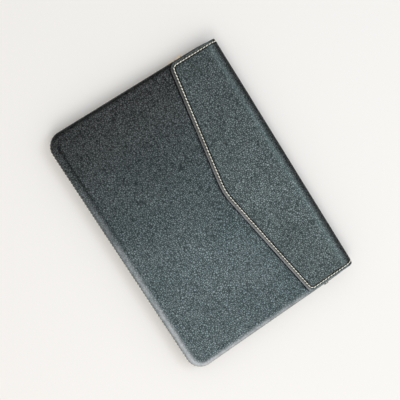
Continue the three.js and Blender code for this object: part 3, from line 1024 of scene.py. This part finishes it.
def waxed_thread(name, dark, light):
    """Twisted linen thread: slanting strands that wind round each stitch, cream, darker between the strands
    and in patches of grime.
    """
    thread = bpy.data.materials.new(name)
    thread.use_nodes = True
    tree = thread.node_tree
    skin = tree.nodes["Principled BSDF"]
    around = add_node(tree, "ShaderNodeUVMap", uv_map="thread").outputs["UV"]
    parts = add_node(tree, "ShaderNodeSeparateXYZ", {0: around})
    along = add_node(tree, "ShaderNodeMath", {0: parts.outputs["Y"], 1: 4.0}, operation="MULTIPLY").outputs[0]
    wound = add_node(tree, "ShaderNodeMath", {0: parts.outputs["X"], 1: along}, operation="ADD").outputs[0]
    angle = add_node(tree, "ShaderNodeMath", {0: wound, 1: 4 * math.pi}, operation="MULTIPLY").outputs[0]
    strands = add_node(tree, "ShaderNodeMath", {0: angle}, operation="SINE").outputs[0]
    place = add_node(tree, "ShaderNodeTexCoord").outputs["Object"]
    grime = add_node(
        tree, "ShaderNodeTexNoise", {"Vector": place, "Scale": 60.0, "Detail": 3.0}
    ).outputs["Fac"]
    strand_shade = add_node(tree, "ShaderNodeMapRange", {"Value": strands, "From Min": -1.0}).outputs[0]
    mixed = add_node(tree, "ShaderNodeMath", {0: strand_shade, 1: 0.4}, operation="MULTIPLY").outputs[0]
    shade = add_node(tree, "ShaderNodeMath", {0: mixed, 1: grime}, operation="ADD").outputs[0]
    dye = add_node(tree, "ShaderNodeValToRGB", {"Fac": shade})
    dye.color_ramp.elements[0].position = 0.3
    dye.color_ramp.elements[0].color = (*dark, 1)
    dye.color_ramp.elements[1].position = 0.8
    dye.color_ramp.elements[1].color = (*light, 1)
    tree.links.new(dye.outputs["Color"], skin.inputs["Base Color"])
    relief = add_node(
        tree, "ShaderNodeBump", {"Height": strands, "Strength": 0.6, "Distance": 0.00008}
    ).outputs["Normal"]
    tree.links.new(relief, skin.inputs["Normal"])
    skin.inputs["Roughness"].default_value = 0.62
    return thread


stitch = bmesh.new()
stitch.loops.layers.uv.new("thread")
bmesh.ops.create_uvsphere(
    stitch,
    u_segments=8,
    v_segments=7,
    radius=1,
    matrix=Matrix.Diagonal((thread_thick / 2, thread_thick * 0.44, stitch_length / 2, 1)),
    calc_uvs=True,
)
stitch_pattern = bpy.data.meshes.new("stitch_pattern")
stitch.to_mesh(stitch_pattern)
stitch.free()


def sew(name, places, material, size=(1, 1, 1)):
    """One row of stitches. A place is where a stitch lies, its way along and its way out of the leather.
    The size scales the pattern stitch across, outwards and along."""
    row = bmesh.new()
    for spot, along, out in places:
        slant = Matrix.Rotation(math.radians(9), 3, out) @ along
        turned = Matrix((out.cross(slant), out, slant)).transposed().to_4x4() @ Matrix.Diagonal((*size, 1))
        first = len(row.verts)
        row.from_mesh(stitch_pattern)
        row.verts.ensure_lookup_table()
        bmesh.ops.transform(row, matrix=Matrix.Translation(spot) @ turned, verts=row.verts[first:])
    return finish_piece(name, row, [material], "case", None)


def punch(name, places, material):
    """The needle holes between the stitches: small near-black discs sunk in the leather,
    painted shade standing in for the dark inside of each hole.
    """
    row = bmesh.new()
    for spot, along, out in places:
        turned = Matrix((along, out.cross(along), out)).transposed().to_4x4()
        bmesh.ops.create_circle(
            row, cap_ends=True, segments=8, radius=hole_radius, matrix=Matrix.Translation(spot) @ turned
        )
    return finish_piece(name, row, [material], "case", None)


def even_places(points, pitch):
    """Even places along a line of flat points, each with its way along."""
    lengths = [0.0]
    for a, b in zip(points, points[1:]):
        lengths.append(lengths[-1] + (b - a).length)
    count = round(lengths[-1] / pitch)
    found = []
    k = 0
    for number in range(2 * count):
        part = lengths[-1] * (number + 0.5) / (2 * count)
        while lengths[k + 1] < part:
            k += 1
        share = (part - lengths[k]) / (lengths[k + 1] - lengths[k])
        found.append((points[k].lerp(points[k + 1], share), (points[k + 1] - points[k]).normalized()))
    return found


def flap_line(inset):
    """The outline of the flat flap at a distance in from its edge, from one end of its tail to the other."""
    length = math.hypot(1, flap_slope)
    centre = flap_half - flap_corner_round
    foot = side_length + flap_slope * flap_corner_round - length * flap_corner_round
    radius = flap_corner_round - inset
    half = [Vector((flap_half - inset, inset))]
    for k in range(13):
        angle = (math.pi / 2 - math.atan(flap_slope)) * k / 12
        half.append(Vector((centre + radius * math.cos(angle), foot + radius * math.sin(angle))))
    for k in range(1, 40):
        x = half[13].x * (1 - k / 39)
        eased = math.hypot(x, flap_point_ease) - flap_point_ease * (1 - x / flap_half)
        half.append(Vector((x, point_length - flap_slope * eased - inset * length)))
    return half + [Vector((-p.x, p.y)) for p in reversed(half[:-1])]


def on_flap(spot, way):
    """Where a place on the flat flap comes to lie, with its way along and its way out of the leather."""
    near = 0.3 * mm
    here = bend(spot.x, spot.y)
    ahead = bend(spot.x + way.x * near, spot.y + way.y * near)
    down = bend(spot.x, spot.y + near) - bend(spot.x, spot.y - near)
    over = bend(spot.x + near, spot.y) - bend(spot.x - near, spot.y)
    out = down.cross(over).normalized()
    along = (ahead - here).normalized()
    along = (along - out * along.dot(out)).normalized()
    return here, along, out


thread = waxed_thread("waxed_thread", (0.62, 0.54, 0.40), (0.97, 0.93, 0.80))
# Near-black painted shade for the inside of each needle hole.
hole_shade_paint = bpy.data.materials.new("hole_shade_paint")
hole_shade_paint.use_nodes = True
hole_tree = hole_shade_paint.node_tree
hole_place = add_node(hole_tree, "ShaderNodeTexCoord").outputs["Object"]
hole_noise = add_node(hole_tree, "ShaderNodeTexNoise", {"Vector": hole_place, "Scale": 1500.0}).outputs["Fac"]
hole_shade_tone = add_node(hole_tree, "ShaderNodeValToRGB", {"Fac": hole_noise})
hole_shade_tone.color_ramp.elements[0].color = (0.004, 0.005, 0.006, 1)
hole_shade_tone.color_ramp.elements[1].color = (0.014, 0.016, 0.018, 1)
hole_tree.links.new(hole_shade_tone.outputs["Color"], hole_tree.nodes["Principled BSDF"].inputs["Base Color"])
hole_tree.nodes["Principled BSDF"].inputs["Roughness"].default_value = 0.9

line = flap_line(groove_inset)
around_flap = [on_flap(spot, way) for spot, way in even_places(line, stitch_pitch)]
tail_line = [Vector((-line[0].x + 4 * mm, groove_inset)), Vector((line[0].x - 4 * mm, groove_inset))]
under_tail = [on_flap(spot, way) for spot, way in even_places(tail_line, stitch_pitch)]
flap_sewn = []
flap_holes = []
for row_of in (around_flap, under_tail):
    for number, (spot, along, out) in enumerate(row_of):
        sunk = tail_stitch_sunk if out.z < -0.5 else stitch_sunk
        if number % 2 == 0:
            flap_sewn.append((spot - out * sunk, along, out))
        else:
            flap_holes.append((spot - out * hole_sunk, along, out))
sew("flap_stitches", flap_sewn, thread)
punch("flap_needle_holes", flap_holes, hole_shade_paint)

rim_sewn = []
rim_holes = []
for height, skirt_flare in ((front_edge + 0.75 * mm, 0.41 * mm), (back_edge - 1.35 * mm, 0)):
    last = route_length(half_length, fold_edge - rim_sewn_from, 0)
    for number, (spot, along, out) in enumerate(spots_round(0, rim_sewn_from, last, stitch_pitch / 2)):
        flared = skirt_flare * max(0, -out.y)
        lifted = spot + Vector((0, 0, height)) + out * flared
        if number % 2 == 0:
            rim_sewn.append((lifted + out * rim_stitch_out, along, out))
        else:
            rim_holes.append((lifted + out * rim_hole_out, along, out))
sew("rim_stitches", rim_sewn, thread, (1.2, 1.7, 0.55))
bpy.data.meshes.remove(stitch_pattern)
punch("rim_needle_holes", rim_holes, hole_shade_paint)

# Floor and light
# A pale paper table, a warm lamp beyond the right end of the case and its zipped side, a bluish window high
# beyond its fold, and a pale room that is lighter towards the right end.
floor = bpy.data.meshes.new("floor")
floor_shape = bmesh.new()
bmesh.ops.create_grid(floor_shape, x_segments=1, y_segments=1, size=3)
floor_shape.to_mesh(floor)
floor_shape.free()
floor_piece = bpy.data.objects.new("floor", floor)
bpy.context.scene.collection.objects.link(floor_piece)
floor_paint = bpy.data.materials.new("floor_paint")
floor_paint.use_nodes = True
floor_paint.node_tree.nodes["Principled BSDF"].inputs["Base Color"].default_value = (0.775, 0.758, 0.738, 1)
floor_paint.node_tree.nodes["Principled BSDF"].inputs["Roughness"].default_value = 0.8
floor.materials.append(floor_paint)


def soft_light(name, azimuth, elevation, distance, size, energy, colour):
    """A square lamp that faces the case, from an azimuth counted from its right end and an elevation."""
    lamp = bpy.data.lights.new(name, "AREA")
    lamp.energy = energy
    lamp.size = size
    lamp.color = colour
    light = bpy.data.objects.new(name, lamp)
    bpy.context.scene.collection.objects.link(light)
    flat = math.cos(math.radians(elevation))
    place = Vector((flat * math.cos(math.radians(azimuth)), flat * math.sin(math.radians(azimuth)), 0))
    place.z = math.sin(math.radians(elevation))
    light.location = place * distance
    light.rotation_mode = "QUATERNION"
    light.rotation_quaternion = (-place).to_track_quat("-Z", "Y")


soft_light("lamp", -35, 48, distance=1.9, size=0.8, energy=9, colour=(1.0, 0.97, 0.94))
soft_light("window", 76, 60, distance=1.2, size=0.45, energy=2.6, colour=(0.76, 0.90, 1.0))
room = bpy.data.worlds.new("room")
room.use_nodes = True
room_tree = room.node_tree
outlook = add_node(room_tree, "ShaderNodeTexCoord").outputs["Generated"]
lighter_side = (0.94, 0.04, 0.34)
towards_light = add_node(
    room_tree, "ShaderNodeVectorMath", {0: outlook, 1: lighter_side}, operation="DOT_PRODUCT"
).outputs["Value"]
daylight = add_node(
    room_tree,
    "ShaderNodeMapRange",
    {"Value": towards_light, "From Min": 0.12, "From Max": 0.8, "To Min": 0.72, "To Max": 1.2},
).outputs[0]
room_tree.links.new(daylight, room_tree.nodes["Background"].inputs["Strength"])
room_tree.nodes["Background"].inputs["Color"].default_value = (1.0, 0.985, 0.97, 1)
bpy.context.scene.world = room
bpy.context.scene.view_settings.view_transform = "Standard"
